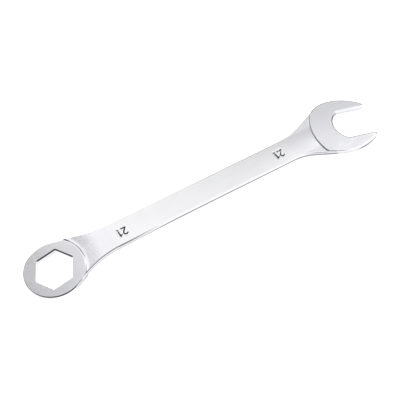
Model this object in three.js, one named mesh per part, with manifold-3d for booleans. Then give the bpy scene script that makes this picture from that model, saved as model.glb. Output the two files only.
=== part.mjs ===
// Combination wrench for 21 mm nuts and bolt heads: a six-point ring at one end and an
// open jaw at the other, joined by a slim flat bar. The real tool is one steel forging.
// Here its working regions are separate solids that meet face to face, and the stamped
// size digits at each end are their own thin infills.
//
// While it is built, the bar lies along X from the ring (X = 0) to the jaw, with its
// mid-plane at Z = 0. At the end the tool is laid on a table, resting on both ends.

import * as THREE from 'three';
import { mergeVertices } from 'three/addons/utils/BufferGeometryUtils.js';
import Module from 'manifold-3d';

const wasm = await Module();
wasm.setup();

// ---------- driving dimensions, millimetres and degrees ----------

const ACROSS_FLATS = 21;          // nut size, at the ring and at the jaw
const RING_RADIUS = 17;           // outside of the ring
const RING_BACKSET = 0.6;         // its outside circle sits this far out from the hexagon
const RING_THICKNESS = 4.2;
const RING_TILT = 15;             // ring plane against the bar
const RING_DROP = 3.2;            // centre of the ring's upper face, below the bar's mid-plane
const RIM_REACH = 18.1;           // ring centre to the middle of the rim facing the bar
const SHOULDER_X = 13.8;          // where that rim meets the ring's sides
const SHOULDER_Y = 12.5;
const RIM_STEP_TOP = 0.7;         // ring face stands above the neck by this much
const RIM_STEP_BOTTOM = 0.4;
const RING_NECK_START = 9;        // hidden inside the ring's outline, then trimmed away
const RING_NECK_FLARE = 1.7;      // how sharply the neck widens as it nears the ring
const RING_NECK_SOFTNESS = 1.2;   // blend between the ring's slope and the bar's face

const SHANK_START = 36;           // end of the ring neck
const SHANK_END = 158;            // start of the jaw neck
const SHANK_HALF_WIDTH_RING = 7.5;
const SHANK_HALF_WIDTH_JAW = 7.65;
const SHANK_THICKNESS_RING = 3.9;
const SHANK_THICKNESS_JAW = 3.4;

const NUT_CENTRE_X = 202;         // centre of a nut held in the jaw
const NUT_CENTRE_Y = -3;
const JAW_ANGLE = -15;            // jaw axis against the bar
const JAW_NECK_CORNER_X = 163;    // where the bar's sides turn outwards to the head
const JAW_NECK_BLEND = 7;
const JAW_NECK_LOW_SLOPE = 0.5;   // sideways run for each millimetre along, -Y side
const JAW_NECK_LOW_REACH = 181;
const JAW_NECK_HIGH_SLOPE = 0.4;
const JAW_NECK_HIGH_REACH = 186;
const HEAD_THICKNESS = 4.1;
const HEAD_SIDE_RADIUS = 31.5;    // outside of each prong
const HEAD_SIDE_BACK = 8.5;       // centres of those two arcs, behind the nut centre
const HEAD_SIDE_ACROSS = 12;      // and across the jaw axis, on the far side
const HEAD_SHOULDER_RADIUS = 18;  // tighter arc down to the neck, on the +Y side
const HEAD_SHOULDER_TURN = 91.5;  // where that arc takes over
const PAD_RADIUS = 31.3;          // raised pad's edge, towards the bar
const PAD_CENTRE_FORWARD = 4.9;
const PAD_CENTRE_ACROSS = -1;
const THROAT_RADIUS = 12.3;       // clears the corners of the nut
const PRONG_TIP_RADIUS = 1.2;
const REST_TIP_X = 215.6;         // where the prong tips touch a table

const EDGE = 0.4;                 // chamfer on the bar, the ring and the hexagon
const HEAD_EDGE = 0.45;
const DIGIT_HEIGHT = 5.2;
const DIGIT_STROKE = 0.75;
const DIGIT_DEPTH = 0.35;         // floor of the stamping, below the face
const DIGIT_FILL = 0.2;           // thickness of the dark infill on that floor
const DIGIT_ADVANCE = 3.3;        // from the middle of the 2 to the middle of the 1
const RING_MARK_X = 42.4;
const RING_MARK_Y = -0.75;
const JAW_MARK_X = 149.6;
const JAW_MARK_Y = -0.1;

const tilt = THREE.MathUtils.degToRad(RING_TILT);
const jawTurn = THREE.MathUtils.degToRad(JAW_ANGLE);

// ---------- materials ----------

function satinChrome(shade) {
  return new THREE.MeshStandardMaterial({ color: shade, roughness: 0.32, metalness: 1 });
}

function stampedDark() {
  return new THREE.MeshStandardMaterial({ color: 0x34343a, roughness: 0.7, metalness: 0.4 });
}

// ---------- joining and cutting ----------

function toManifold(geometry) {
  const bare = geometry.clone();
  bare.deleteAttribute('normal');
  bare.deleteAttribute('uv');
  const welded = mergeVertices(bare);
  return new wasm.Manifold(new wasm.Mesh({
    numProp: 3,
    vertProperties: new Float32Array(welded.attributes.position.array),
    triVerts: new Uint32Array(welded.index.array),
  }));
}

function fromManifold(manifold) {
  const mesh = manifold.getMesh();
  const geometry = new THREE.BufferGeometry();
  geometry.setAttribute('position', new THREE.BufferAttribute(mesh.vertProperties, 3));
  geometry.setIndex(new THREE.BufferAttribute(mesh.triVerts, 1));
  geometry.computeVertexNormals();
  return geometry;
}

function cut(geometry, ...tools) {
  let solid = toManifold(geometry);
  for (const tool of tools) solid = solid.subtract(toManifold(tool));
  return fromManifold(solid);
}

// ---------- shared shape helpers ----------

// The outline as a polygon, leaving out points that repeat where two curves join.
function polygon(shape, curveSegments) {
  const points = shape.getPoints(curveSegments);
  const kept = points.filter((point, i) => {
    const next = points[(i + 1) % points.length];
    return point.distanceTo(next) > 0.001;
  });
  const outline = new THREE.Shape(kept);
  outline.holes = shape.holes;
  return outline;
}

// A flat plate, centred on Z = 0, chamfered all round without growing past its outline.
function plate(shape, thickness, edge, curveSegments) {
  const geometry = new THREE.ExtrudeGeometry(polygon(shape, curveSegments), {
    depth: thickness - 2 * edge,
    bevelEnabled: true,
    bevelThickness: edge,
    bevelSize: edge,
    bevelOffset: -edge,
    bevelSegments: 1,
  });
  geometry.translate(0, 0, edge - thickness / 2);
  return geometry;
}

// A straight-sided prism from one height to another.
function prism(shape, low, high, curveSegments) {
  const geometry = new THREE.ExtrudeGeometry(polygon(shape, curveSegments), {
    depth: high - low,
    bevelEnabled: false,
  });
  geometry.translate(0, 0, low);
  return geometry;
}

// Chamfered rectangle across the bar at one station, as eight points going round.
function barSection(x, halfWidth, low, high) {
  const inner = halfWidth - EDGE;
  return [
    [x, halfWidth, high - EDGE], [x, inner, high],
    [x, -inner, high], [x, -halfWidth, high - EDGE],
    [x, -halfWidth, low + EDGE], [x, -inner, low],
    [x, inner, low], [x, halfWidth, low + EDGE],
  ];
}

// Closed solid through a row of such sections, from the lowest X to the highest.
function loft(sections) {
  const positions = sections.flat(2);
  const around = sections[0].length;
  const index = [];
  for (let s = 0; s + 1 < sections.length; s++) {
    for (let i = 0; i < around; i++) {
      const a = s * around + i;
      const b = s * around + (i + 1) % around;
      index.push(a, b, a + around, b, b + around, a + around);
    }
  }
  const last = (sections.length - 1) * around;
  for (let i = 1; i + 1 < around; i++) {
    index.push(0, i + 1, i);
    index.push(last, last + i, last + i + 1);
  }
  const geometry = new THREE.BufferGeometry();
  geometry.setAttribute('position', new THREE.Float32BufferAttribute(positions, 3));
  geometry.setIndex(index);
  geometry.computeVertexNormals();
  return geometry;
}

// Where two circles cross, on the left of the line from the first centre to the second.
function circleCrossing(a, radiusA, b, radiusB) {
  const between = new THREE.Vector2().subVectors(b, a);
  const gap = between.length();
  const along = (gap * gap + radiusA * radiusA - radiusB * radiusB) / (2 * gap);
  const aside = Math.sqrt(radiusA * radiusA - along * along);
  const forward = between.divideScalar(gap);
  const left = new THREE.Vector2(-forward.y, forward.x);
  return a.clone().addScaledVector(forward, along).addScaledVector(left, aside);
}

function angleAt(centre, point) {
  return Math.atan2(point.y - centre.y, point.x - centre.x);
}

// ---------- ring ----------

// Round on the far side, with straight flanks running out to a flatter rim at the bar.
function ringOutline() {
  const rimCentre = (RIM_REACH ** 2 - SHOULDER_X ** 2 - SHOULDER_Y ** 2)
    / (2 * (RIM_REACH - SHOULDER_X));
  const rimHalfAngle = Math.atan2(SHOULDER_Y, SHOULDER_X - rimCentre);
  const shoulderForward = SHOULDER_X + RING_BACKSET;
  const shoulderDistance = Math.hypot(shoulderForward, SHOULDER_Y);
  const flankAngle = Math.atan2(SHOULDER_Y, shoulderForward)
    + Math.acos(RING_RADIUS / shoulderDistance);
  const shape = new THREE.Shape();
  shape.absarc(rimCentre, 0, RIM_REACH - rimCentre, -rimHalfAngle, rimHalfAngle, false);
  shape.absarc(-RING_BACKSET, 0, RING_RADIUS, flankAngle, 2 * Math.PI - flankAngle, false);
  shape.closePath();
  return shape;
}

// One corner of the hexagon points along the bar.
function hexagonHole() {
  const corner = ACROSS_FLATS / Math.sqrt(3);
  const hole = new THREE.Path();
  for (let i = 0; i < 6; i++) {
    const turn = -i * Math.PI / 3;
    const x = corner * Math.cos(turn);
    const y = corner * Math.sin(turn);
    if (i === 0) hole.moveTo(x, y);
    else hole.lineTo(x, y);
  }
  hole.closePath();
  return hole;
}

// Tilts a shape drawn flat about the ring's upper face into its place on the bar.
function placeAtRing(geometry) {
  geometry.translate(0, 0, -RING_THICKNESS / 2);
  geometry.rotateY(-tilt);
  geometry.translate(0, 0, -RING_DROP);
  return geometry;
}

const RING_CURVE = 40;

function ringHead() {
  const shape = ringOutline();
  shape.holes.push(hexagonHole());
  return placeAtRing(plate(shape, RING_THICKNESS, EDGE, RING_CURVE));
}

// ---------- neck between ring and bar ----------

function ringFaceHeight(x) {
  return x * Math.tan(tilt) - RING_DROP;
}

// The lower of two heights, with a soft change-over.
function softLower(a, b, softness) {
  const h = Math.max(softness - Math.abs(a - b), 0) / softness;
  return Math.min(a, b) - h * h * softness / 4;
}

function ringNeckHalfWidth(x) {
  const flareLength = SHANK_START - SHOULDER_X * Math.cos(tilt);
  const flare = SHOULDER_Y - SHANK_HALF_WIDTH_RING;
  const along = Math.max(SHANK_START - x, 0) / flareLength;
  return SHANK_HALF_WIDTH_RING + flare * Math.min(along, 1) ** RING_NECK_FLARE;
}

function ringNeck() {
  const half = SHANK_THICKNESS_RING / 2;
  const start = RING_NECK_START;
  const stations = 19;
  const sections = [];
  for (let i = 0; i < stations; i++) {
    const x = start + (SHANK_START - start) * i / (stations - 1);
    const face = ringFaceHeight(x);
    const underside = face - RING_THICKNESS / Math.cos(tilt);
    const high = softLower(face - RIM_STEP_TOP, half, RING_NECK_SOFTNESS);
    const low = softLower(underside + RIM_STEP_BOTTOM, -half, RING_NECK_SOFTNESS);
    sections.push(barSection(x, ringNeckHalfWidth(x), low, high));
  }
  const ringSpace = placeAtRing(prism(ringOutline(), -9, 9, RING_CURVE));
  return cut(loft(sections), ringSpace);
}

// ---------- bar, with a stamped size near each end ----------

function shankHalfThickness(x) {
  const along = (x - SHANK_START) / (SHANK_END - SHANK_START);
  return THREE.MathUtils.lerp(SHANK_THICKNESS_RING, SHANK_THICKNESS_JAW, along) / 2;
}

// Plain figure two, centred on its own middle.
function figureTwo() {
  const bowl = 1.55;
  const halfHeight = DIGIT_HEIGHT / 2;
  const bowlY = halfHeight - bowl;
  const inner = bowl - DIGIT_STROKE;
  const start = THREE.MathUtils.degToRad(165);
  const end = THREE.MathUtils.degToRad(-38);
  const shape = new THREE.Shape();
  shape.moveTo(-bowl, -halfHeight);
  shape.lineTo(bowl, -halfHeight);
  shape.lineTo(bowl, DIGIT_STROKE - halfHeight);
  shape.lineTo(-0.35, DIGIT_STROKE - halfHeight);
  shape.absarc(0, bowlY, bowl, end, start, false);
  shape.absarc(0, bowlY, inner, start, end, true);
  shape.lineTo(-bowl, DIGIT_STROKE - halfHeight);
  shape.closePath();
  return shape;
}

// Plain figure one, with a short flag.
function figureOne() {
  const top = DIGIT_HEIGHT / 2;
  const right = 0.7;
  const left = right - DIGIT_STROKE;
  const shape = new THREE.Shape();
  shape.moveTo(left, -top);
  shape.lineTo(right, -top);
  shape.lineTo(right, top);
  shape.lineTo(left + 0.1, top);
  shape.lineTo(left - 0.95, top - 1);
  shape.lineTo(left - 0.95, top - 1.8);
  shape.lineTo(left, top - 1);
  shape.closePath();
  return shape;
}

// The digits read from the jaw towards the ring, so each is turned half round.
function placeDigit(geometry, mark) {
  geometry.rotateZ(Math.PI);
  geometry.translate(mark.x, mark.y, 0);
  return geometry;
}

const DIGIT_CURVE = 10;

function sizeMark(end, x, y) {
  return [
    { name: `${end}_digit_2`, shape: figureTwo(), x: x + DIGIT_ADVANCE / 2, y },
    { name: `${end}_digit_1`, shape: figureOne(), x: x - DIGIT_ADVANCE / 2, y },
  ];
}

const sizeMarks = [
  ...sizeMark('ring_end', RING_MARK_X, RING_MARK_Y),
  ...sizeMark('jaw_end', JAW_MARK_X, JAW_MARK_Y),
];

function digitRecess(mark) {
  const face = shankHalfThickness(mark.x);
  return placeDigit(prism(mark.shape, face - DIGIT_DEPTH, face + 1, DIGIT_CURVE), mark);
}

function digitInfill(mark) {
  const floor = shankHalfThickness(mark.x) - DIGIT_DEPTH;
  return placeDigit(prism(mark.shape, floor, floor + DIGIT_FILL, DIGIT_CURVE), mark);
}

function shank() {
  const ringEnd = SHANK_THICKNESS_RING / 2;
  const jawEnd = SHANK_THICKNESS_JAW / 2;
  const bar = loft([
    barSection(SHANK_START, SHANK_HALF_WIDTH_RING, -ringEnd, ringEnd),
    barSection(SHANK_END, SHANK_HALF_WIDTH_JAW, -jawEnd, jawEnd),
  ]);
  return cut(bar, ...sizeMarks.map(digitRecess));
}

// ---------- open head ----------

// Drawn about the nut centre, with its X along the jaw axis.
function headOutline() {
  const flat = ACROSS_FLATS / 2;
  const sideCentre = new THREE.Vector2(-HEAD_SIDE_BACK, -HEAD_SIDE_ACROSS);
  const farCentre = new THREE.Vector2(-HEAD_SIDE_BACK, HEAD_SIDE_ACROSS);
  const padCentre = new THREE.Vector2(PAD_CENTRE_FORWARD, PAD_CENTRE_ACROSS);
  const shoulderTurn = THREE.MathUtils.degToRad(HEAD_SHOULDER_TURN);
  const shoulderCentre = new THREE.Vector2(
    sideCentre.x + (HEAD_SIDE_RADIUS - HEAD_SHOULDER_RADIUS) * Math.cos(shoulderTurn),
    sideCentre.y + (HEAD_SIDE_RADIUS - HEAD_SHOULDER_RADIUS) * Math.sin(shoulderTurn),
  );
  const tipAcross = flat + PRONG_TIP_RADIUS;
  const tipForward = sideCentre.x + Math.sqrt(
    (HEAD_SIDE_RADIUS - PRONG_TIP_RADIUS) ** 2 - (tipAcross + HEAD_SIDE_ACROSS) ** 2,
  );
  const tipTurn = Math.atan2(tipAcross + HEAD_SIDE_ACROSS, tipForward - sideCentre.x);
  const throatTurn = Math.PI - Math.asin(flat / THROAT_RADIUS);
  const padTop = circleCrossing(shoulderCentre, HEAD_SHOULDER_RADIUS, padCentre, PAD_RADIUS);
  const padLow = circleCrossing(padCentre, PAD_RADIUS, farCentre, HEAD_SIDE_RADIUS);
  const shape = new THREE.Shape();
  shape.absarc(farCentre.x, farCentre.y, HEAD_SIDE_RADIUS,
    angleAt(farCentre, padLow), -tipTurn, false);
  shape.absarc(tipForward, -tipAcross, PRONG_TIP_RADIUS, -tipTurn, Math.PI / 2, false);
  shape.absarc(0, 0, THROAT_RADIUS, -throatTurn, throatTurn, true);
  shape.absarc(tipForward, tipAcross, PRONG_TIP_RADIUS, -Math.PI / 2, tipTurn, false);
  shape.absarc(sideCentre.x, sideCentre.y, HEAD_SIDE_RADIUS, tipTurn, shoulderTurn, false);
  shape.absarc(shoulderCentre.x, shoulderCentre.y, HEAD_SHOULDER_RADIUS,
    shoulderTurn, angleAt(shoulderCentre, padTop), false);
  shape.absarc(padCentre.x, padCentre.y, PAD_RADIUS,
    angleAt(padCentre, padTop), angleAt(padCentre, padLow) + 2 * Math.PI, false);
  shape.closePath();
  return shape;
}

function placeAtJaw(geometry) {
  geometry.rotateZ(jawTurn);
  geometry.translate(NUT_CENTRE_X, NUT_CENTRE_Y, 0);
  return geometry;
}

const HEAD_CURVE = 16;

function openHead() {
  return placeAtJaw(plate(headOutline(), HEAD_THICKNESS, HEAD_EDGE, HEAD_CURVE));
}

// ---------- neck between bar and open head ----------

// One side of the neck: along the bar, round a blend, then straight out to the head.
function neckSide(shape, side, slope, reach) {
  const blend = JAW_NECK_BLEND;
  const corner = JAW_NECK_CORNER_X;
  const y = side * SHANK_HALF_WIDTH_JAW;
  const out = side * slope;
  const points = {
    start: [SHANK_END - 8, y],
    before: [corner - blend, y],
    corner: [corner, y],
    after: [corner + blend, y + out * blend],
    end: [reach, y + out * (reach - corner)],
  };
  if (side < 0) {
    shape.moveTo(...points.start);
    shape.lineTo(...points.before);
    shape.quadraticCurveTo(...points.corner, ...points.after);
    shape.lineTo(...points.end);
  } else {
    shape.lineTo(...points.end);
    shape.lineTo(...points.after);
    shape.quadraticCurveTo(...points.corner, ...points.before);
    shape.lineTo(...points.start);
  }
}

function openNeck() {
  const shape = new THREE.Shape();
  neckSide(shape, -1, JAW_NECK_LOW_SLOPE, JAW_NECK_LOW_REACH);
  neckSide(shape, 1, JAW_NECK_HIGH_SLOPE, JAW_NECK_HIGH_REACH);
  shape.closePath();
  const body = plate(shape, SHANK_THICKNESS_JAW, EDGE, 8);
  const behind = new THREE.BoxGeometry(40, 60, 20);
  behind.translate(SHANK_END - 20, 0, 0);
  const headSpace = placeAtJaw(prism(headOutline(), -9, 9, HEAD_CURVE));
  return cut(body, behind, headSpace);
}

// ---------- assembly ----------

function addPart(group, name, geometry, material) {
  const mesh = new THREE.Mesh(geometry, material);
  mesh.name = name;
  group.add(mesh);
}

const wrench = new THREE.Group();
addPart(wrench, 'ring_head', ringHead(), satinChrome(0xc6c6ce));
addPart(wrench, 'ring_neck', ringNeck(), satinChrome(0xcfcfd6));
addPart(wrench, 'shank', shank(), satinChrome(0xd8d8de));
addPart(wrench, 'open_neck', openNeck(), satinChrome(0xcfcfd6));
addPart(wrench, 'open_head', openHead(), satinChrome(0xc9c9d0));
for (const mark of sizeMarks) addPart(wrench, mark.name, digitInfill(mark), stampedDark());

// Laid down, the tool touches the table at the ring's far lower rim and at the prong tips.
const ringContactReach = RING_RADIUS + RING_BACKSET - EDGE;
const ringContactX = -ringContactReach * Math.cos(tilt) + RING_THICKNESS * Math.sin(tilt);
const ringContactZ = -RING_DROP - ringContactReach * Math.sin(tilt)
  - RING_THICKNESS * Math.cos(tilt);
const restPitch = Math.atan2(-HEAD_THICKNESS / 2 - ringContactZ, REST_TIP_X - ringContactX);

wrench.rotation.y = restPitch;
wrench.updateMatrixWorld(true);
const box = new THREE.Box3().setFromObject(wrench, true);
const middle = box.getCenter(new THREE.Vector3());
wrench.position.set(-middle.x, -middle.y, -box.min.z);

const tool = new THREE.Group();
tool.name = 'combination_wrench';
tool.add(wrench);

export default tool;
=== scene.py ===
import math

import bmesh
import bpy
import numpy as np
from mathutils import Matrix, Vector, geometry, noise


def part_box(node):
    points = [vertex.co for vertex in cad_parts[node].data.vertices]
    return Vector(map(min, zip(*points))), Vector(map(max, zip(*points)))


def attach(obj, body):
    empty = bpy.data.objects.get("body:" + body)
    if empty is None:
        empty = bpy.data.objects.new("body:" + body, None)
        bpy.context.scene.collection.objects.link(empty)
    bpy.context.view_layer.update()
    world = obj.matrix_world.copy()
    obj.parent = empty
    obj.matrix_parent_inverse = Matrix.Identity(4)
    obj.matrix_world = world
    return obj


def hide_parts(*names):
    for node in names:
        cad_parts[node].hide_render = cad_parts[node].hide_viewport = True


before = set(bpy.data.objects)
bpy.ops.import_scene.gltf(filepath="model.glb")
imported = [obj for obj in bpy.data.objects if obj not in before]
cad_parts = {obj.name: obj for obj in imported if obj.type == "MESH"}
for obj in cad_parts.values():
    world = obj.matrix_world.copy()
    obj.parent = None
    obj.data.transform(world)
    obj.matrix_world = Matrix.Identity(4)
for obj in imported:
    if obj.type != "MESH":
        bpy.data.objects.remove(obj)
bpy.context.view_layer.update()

# Combination wrench for 21 mm nuts. Shapes are worked out in millimetres in the wrench's
# own frame: X along the bar from the ring's centre to the jaw, Z = 0 in the bar's middle.
# They are then laid on the table by the box of the CAD's bar. They follow the CAD, with small
# departures towards the photograph: see the values named fuller, oval and tighter.

# ---------- dimensions, millimetres and degrees ----------

ACROSS_FLATS = 21.0
RING_RADIUS = 17.0
RING_BACKSET = 0.6
RING_THICKNESS = 4.2
RING_TILT = math.radians(15)
RING_DROP = 3.2
RIM_REACH = 18.1
SHOULDER = (13.8, 12.5)
RIM_STEP_BOTTOM = 0.4
RELIEF_FOOT = 0.8        # height of the relief at the foot of the ring's rim
RELIEF_GRADE = math.tan(math.radians(13.5))
RELIEF_SOFTNESS = 1.1
HOLLOW_SHADE = (0.24, 0.09)   # how dark the painted shade on the relief is, and how much more on the +Y side

SHANK_START = 36.0
SHANK_END = 158.0
SHANK_HALF_WIDTH = (7.5, 7.65)
SHANK_THICKNESS = (3.9, 3.4)
NECK_FLARE = 1.7

NUT_CENTRE = (202.0, -3.0)
JAW_ANGLE = math.radians(-15)
HEAD_THICKNESS = 4.1
HEAD_SIDE_RADIUS = 31.5
HEAD_SIDE_BACK = 8.5
HEAD_SIDE_ACROSS = 12.0
HEAD_SHOULDER_RADIUS = 18.0
HEAD_SHOULDER_TURN = math.radians(91.5)
PAD_RADIUS = 31.3
PAD_CENTRE = (4.9, -1.0)
THROAT_RADIUS = 12.3
PRONG_TIP_RADIUS = 1.2
JAW_NECK_CORNER = 163.0
JAW_NECK_BLEND = 7.0
JAW_NECK_SLOPE = (0.5, 0.4)

NEAR_EDGE = 0.8          # rounding of the upper edges, -Y side
FAR_EDGE = 0.45          # the same, +Y side
RING_OVAL = 0.72         # how far the ring's outline is oval, furthest out at the next angle
RING_OVAL_TURN = math.radians(136)
RIM_EDGE = 1.1           # the ring's rim where it faces the bar
RIM_SHADE = 0.13         # how dark that rim's rounding is, as painted shade
RING_NEAR_EDGE = 0.56    # rounding of the ring's upper edge, -Y side
FAR_FULLER = 0.2         # how much fuller the +Y outline is, to make up for its rounding
NEAR_FULLER = 0.85       # how much fuller the -Y outline is at the ring's neck
THROAT_FULLER = 0.4      # how far the bottom of the jaw is moved in
LOW_EDGE = 0.55          # rounding of the lower edges
HEX_EDGE = 0.72          # rounding of the hexagon's upper edge, sides that face -Y
HEX_SIDE_EDGE = 0.22     # the same, its other sides
HEX_LOW_EDGE = 0.3       # rounding of its lower edge
HEX_TIGHTER = 0.12       # how far its sides are moved in, and as much again where they face -Y
HEAD_EDGE = 0.55         # rounding of the open head's upper edge
HEAD_NEAR_MORE = 0.15    # how much more it is rounded on the -Y side
PAD_EDGE = 0.32          # rounding of the pad's step
FACE_INSET = 0.12        # how far inside the rounding the flat face begins
RING_BELLY = 0.12        # how far the side walls bulge
BAR_BELLY = 0.08
HEAD_BELLY = 0.06
CROWN = 0.1              # how much higher the bar's face is in the middle than at its sides
PAD_GROOVE = 0.05        # depth of the groove along the step of the open head
GROOVE_WIDTH = 0.35
JAW_NECK_LOW_BEND = 179.0    # from here on the open neck's -Y side curves in again
JAW_NECK_LOW_CURVE = 0.03
RING_NECK_STOP = 8.0     # the search for where a neck meets its head ends here
JAW_NECK_STOP = 196.0
NECK_LOW_SOFTNESS = 0.9  # how softly the ring neck's lower side turns into the bar's
JAW_INSIDE = 18.5        # outline nearer than this to the nut's centre is inside the jaw
UNDER_RIM = 0.3          # the necks run this far in under the rims of the heads
DIGIT_HEIGHT = 5.2
DIGIT_STROKE = 0.75
DIGIT_ADVANCE = 3.3
RING_MARK = (42.4, -0.75)
JAW_MARK = (149.6, -0.1)
REST_TIP_X = 215.6

# ---------- where the CAD lies ----------

reach = RING_RADIUS + RING_BACKSET - 0.4
contact_x = -reach * math.cos(RING_TILT) + RING_THICKNESS * math.sin(RING_TILT)
contact_z = -RING_DROP - reach * math.sin(RING_TILT) - RING_THICKNESS * math.cos(RING_TILT)
pitch = math.atan2(-HEAD_THICKNESS / 2 - contact_z, REST_TIP_X - contact_x)
shank_low, shank_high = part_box("shank")
half_start = SHANK_THICKNESS[0] / 2
place = Vector((
    shank_low.x * 1000 - SHANK_START * math.cos(pitch) + half_start * math.sin(pitch),
    (shank_low.y + shank_high.y) * 500,
    shank_high.z * 1000 + SHANK_START * math.sin(pitch) - half_start * math.cos(pitch),
))
TO_ROW = Matrix.Scale(0.001, 4) @ Matrix.Translation(place) @ Matrix.Rotation(pitch, 4, "Y")
RING_PLACE = Matrix.Translation((0, 0, -RING_DROP)) @ Matrix.Rotation(-RING_TILT, 4, "Y")
JAW_PLACE = Matrix.Translation((*NUT_CENTRE, 0)) @ Matrix.Rotation(JAW_ANGLE, 4, "Z")
FLAT = Matrix.Identity(4)

# ---------- outlines ----------


def arc(centre, radius, start, end, count=48):
    turns = np.linspace(start, end, count)
    return np.stack([centre[0] + radius * np.cos(turns), centre[1] + radius * np.sin(turns)], 1)


def evenly(points, step, soften=0):
    """The closed outline at an even spacing, with its corners rounded a little."""
    closed = np.vstack([points, points[:1]])
    lengths = np.linalg.norm(np.diff(closed, axis=0), axis=1)
    keep = np.append(lengths > 1e-6, True)
    closed = closed[keep]
    travelled = np.append(0, np.cumsum(np.linalg.norm(np.diff(closed, axis=0), axis=1)))
    count = int(round(travelled[-1] / step))
    at = np.arange(count) * travelled[-1] / count
    ring = np.stack([np.interp(at, travelled, closed[:, k]) for k in (0, 1)], 1)
    for _ in range(soften):
        ring = (np.roll(ring, 1, 0) + 2 * ring + np.roll(ring, -1, 0)) / 4
    return ring


def outward(ring):
    """Unit normals of an anticlockwise outline."""
    along = np.roll(ring, -1, 0) - np.roll(ring, 1, 0)
    along /= np.linalg.norm(along, axis=1)[:, None]
    return np.stack([along[:, 1], -along[:, 0]], 1)


def inside(ring, points):
    points = np.atleast_2d(points)
    result = np.zeros(len(points), bool)
    nxt = np.roll(ring, -1, 0)
    for (x0, y0), (x1, y1) in zip(ring, nxt):
        if y0 == y1:
            continue
        spans = (y0 > points[:, 1]) != (y1 > points[:, 1])
        cross = (x1 - x0) * (points[:, 1] - y0) / (y1 - y0) + x0
        result ^= spans & (points[:, 0] < cross)
    return result


def distance(ring, points):
    """Distance from each point to the outline."""
    points = np.atleast_2d(points)
    a, b = ring, np.roll(ring, -1, 0)
    along = b - a
    length = (along ** 2).sum(1)
    best = np.full(len(points), 1e9)
    for start, vector, square in zip(a, along, length):
        t = np.clip(((points - start) @ vector) / square, 0, 1)
        best = np.minimum(best, np.linalg.norm(points - start - t[:, None] * vector, axis=1))
    return best


def ring_outline():
    sx, sy = SHOULDER
    rim_centre = (RIM_REACH ** 2 - sx ** 2 - sy ** 2) / (2 * (RIM_REACH - sx))
    rim_half = math.atan2(sy, sx - rim_centre)
    forward = sx + RING_BACKSET
    flank = math.atan2(sy, forward) + math.acos(RING_RADIUS / math.hypot(forward, sy))
    return np.vstack([
        arc((rim_centre, 0), RIM_REACH - rim_centre, -rim_half, rim_half),
        arc((-RING_BACKSET, 0), RING_RADIUS, flank, 2 * math.pi - flank, 160),
    ])


def hexagon():
    corner = ACROSS_FLATS / math.sqrt(3)
    return arc((0, 0), corner, 0, 5 * math.pi / 3, 6)


def circle_crossing(a, radius_a, b, radius_b):
    a, b = np.array(a), np.array(b)
    gap = np.linalg.norm(b - a)
    along = (gap ** 2 + radius_a ** 2 - radius_b ** 2) / (2 * gap)
    aside = math.sqrt(radius_a ** 2 - along ** 2)
    ahead = (b - a) / gap
    return a + ahead * along + np.array([-ahead[1], ahead[0]]) * aside


def angle_at(centre, point):
    return math.atan2(point[1] - centre[1], point[0] - centre[0])


def head_outline():
    flat = ACROSS_FLATS / 2
    side = (-HEAD_SIDE_BACK, -HEAD_SIDE_ACROSS)
    far = (-HEAD_SIDE_BACK, HEAD_SIDE_ACROSS)
    spare = HEAD_SIDE_RADIUS - HEAD_SHOULDER_RADIUS
    turn = HEAD_SHOULDER_TURN
    shoulder = (side[0] + spare * math.cos(turn), side[1] + spare * math.sin(turn))
    tip_across = flat + PRONG_TIP_RADIUS
    tip_forward = side[0] + math.sqrt(
        (HEAD_SIDE_RADIUS - PRONG_TIP_RADIUS) ** 2 - (tip_across + HEAD_SIDE_ACROSS) ** 2)
    tip_turn = math.atan2(tip_across + HEAD_SIDE_ACROSS, tip_forward - side[0])
    throat = math.pi - math.asin(flat / THROAT_RADIUS)
    pad_top = circle_crossing(shoulder, HEAD_SHOULDER_RADIUS, PAD_CENTRE, PAD_RADIUS)
    pad_low = circle_crossing(PAD_CENTRE, PAD_RADIUS, far, HEAD_SIDE_RADIUS)
    low_turn = angle_at(far, pad_low) % (2 * math.pi) - 2 * math.pi
    return np.vstack([
        arc(far, HEAD_SIDE_RADIUS, low_turn, -tip_turn, 90),
        arc((tip_forward, -tip_across), PRONG_TIP_RADIUS, -tip_turn, math.pi / 2, 20),
        arc((0, 0), THROAT_RADIUS, 2 * math.pi - throat, throat, 60),
        arc((tip_forward, tip_across), PRONG_TIP_RADIUS, -math.pi / 2, tip_turn, 20),
        arc(side, HEAD_SIDE_RADIUS, tip_turn, turn, 60),
        arc(shoulder, HEAD_SHOULDER_RADIUS, turn, angle_at(shoulder, pad_top) % (2 * math.pi), 40),
        arc(PAD_CENTRE, PAD_RADIUS, angle_at(PAD_CENTRE, pad_top) % (2 * math.pi),
            angle_at(PAD_CENTRE, pad_low) % (2 * math.pi), 60),
    ])


def figure_two():
    bowl = 1.55
    half = DIGIT_HEIGHT / 2
    start, end = math.radians(165), math.radians(-38)
    return np.vstack([
        [(-bowl, -half), (bowl, -half), (bowl, DIGIT_STROKE - half),
         (-0.35, DIGIT_STROKE - half)],
        arc((0, half - bowl), bowl, end, start, 24),
        arc((0, half - bowl), bowl - DIGIT_STROKE, start, end, 18),
        [(-bowl, DIGIT_STROKE - half)],
    ])


def figure_one():
    top = DIGIT_HEIGHT / 2
    left = 0.7 - DIGIT_STROKE
    return np.array([
        (left, -top), (0.7, -top), (0.7, top), (left + 0.1, top),
        (left - 0.95, top - 1), (left - 0.95, top - 1.8), (left, top - 1),
    ])


def digit_ring(shape, centre):
    """A figure's outline in its place, turned half a turn as the photograph has it."""
    ring = evenly(shape, 0.1, 5)
    return np.array(centre) - ring


# ---------- mesh building ----------

SLIVER = 1e-3            # a triangle thinner than this lies along a straight border


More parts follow.
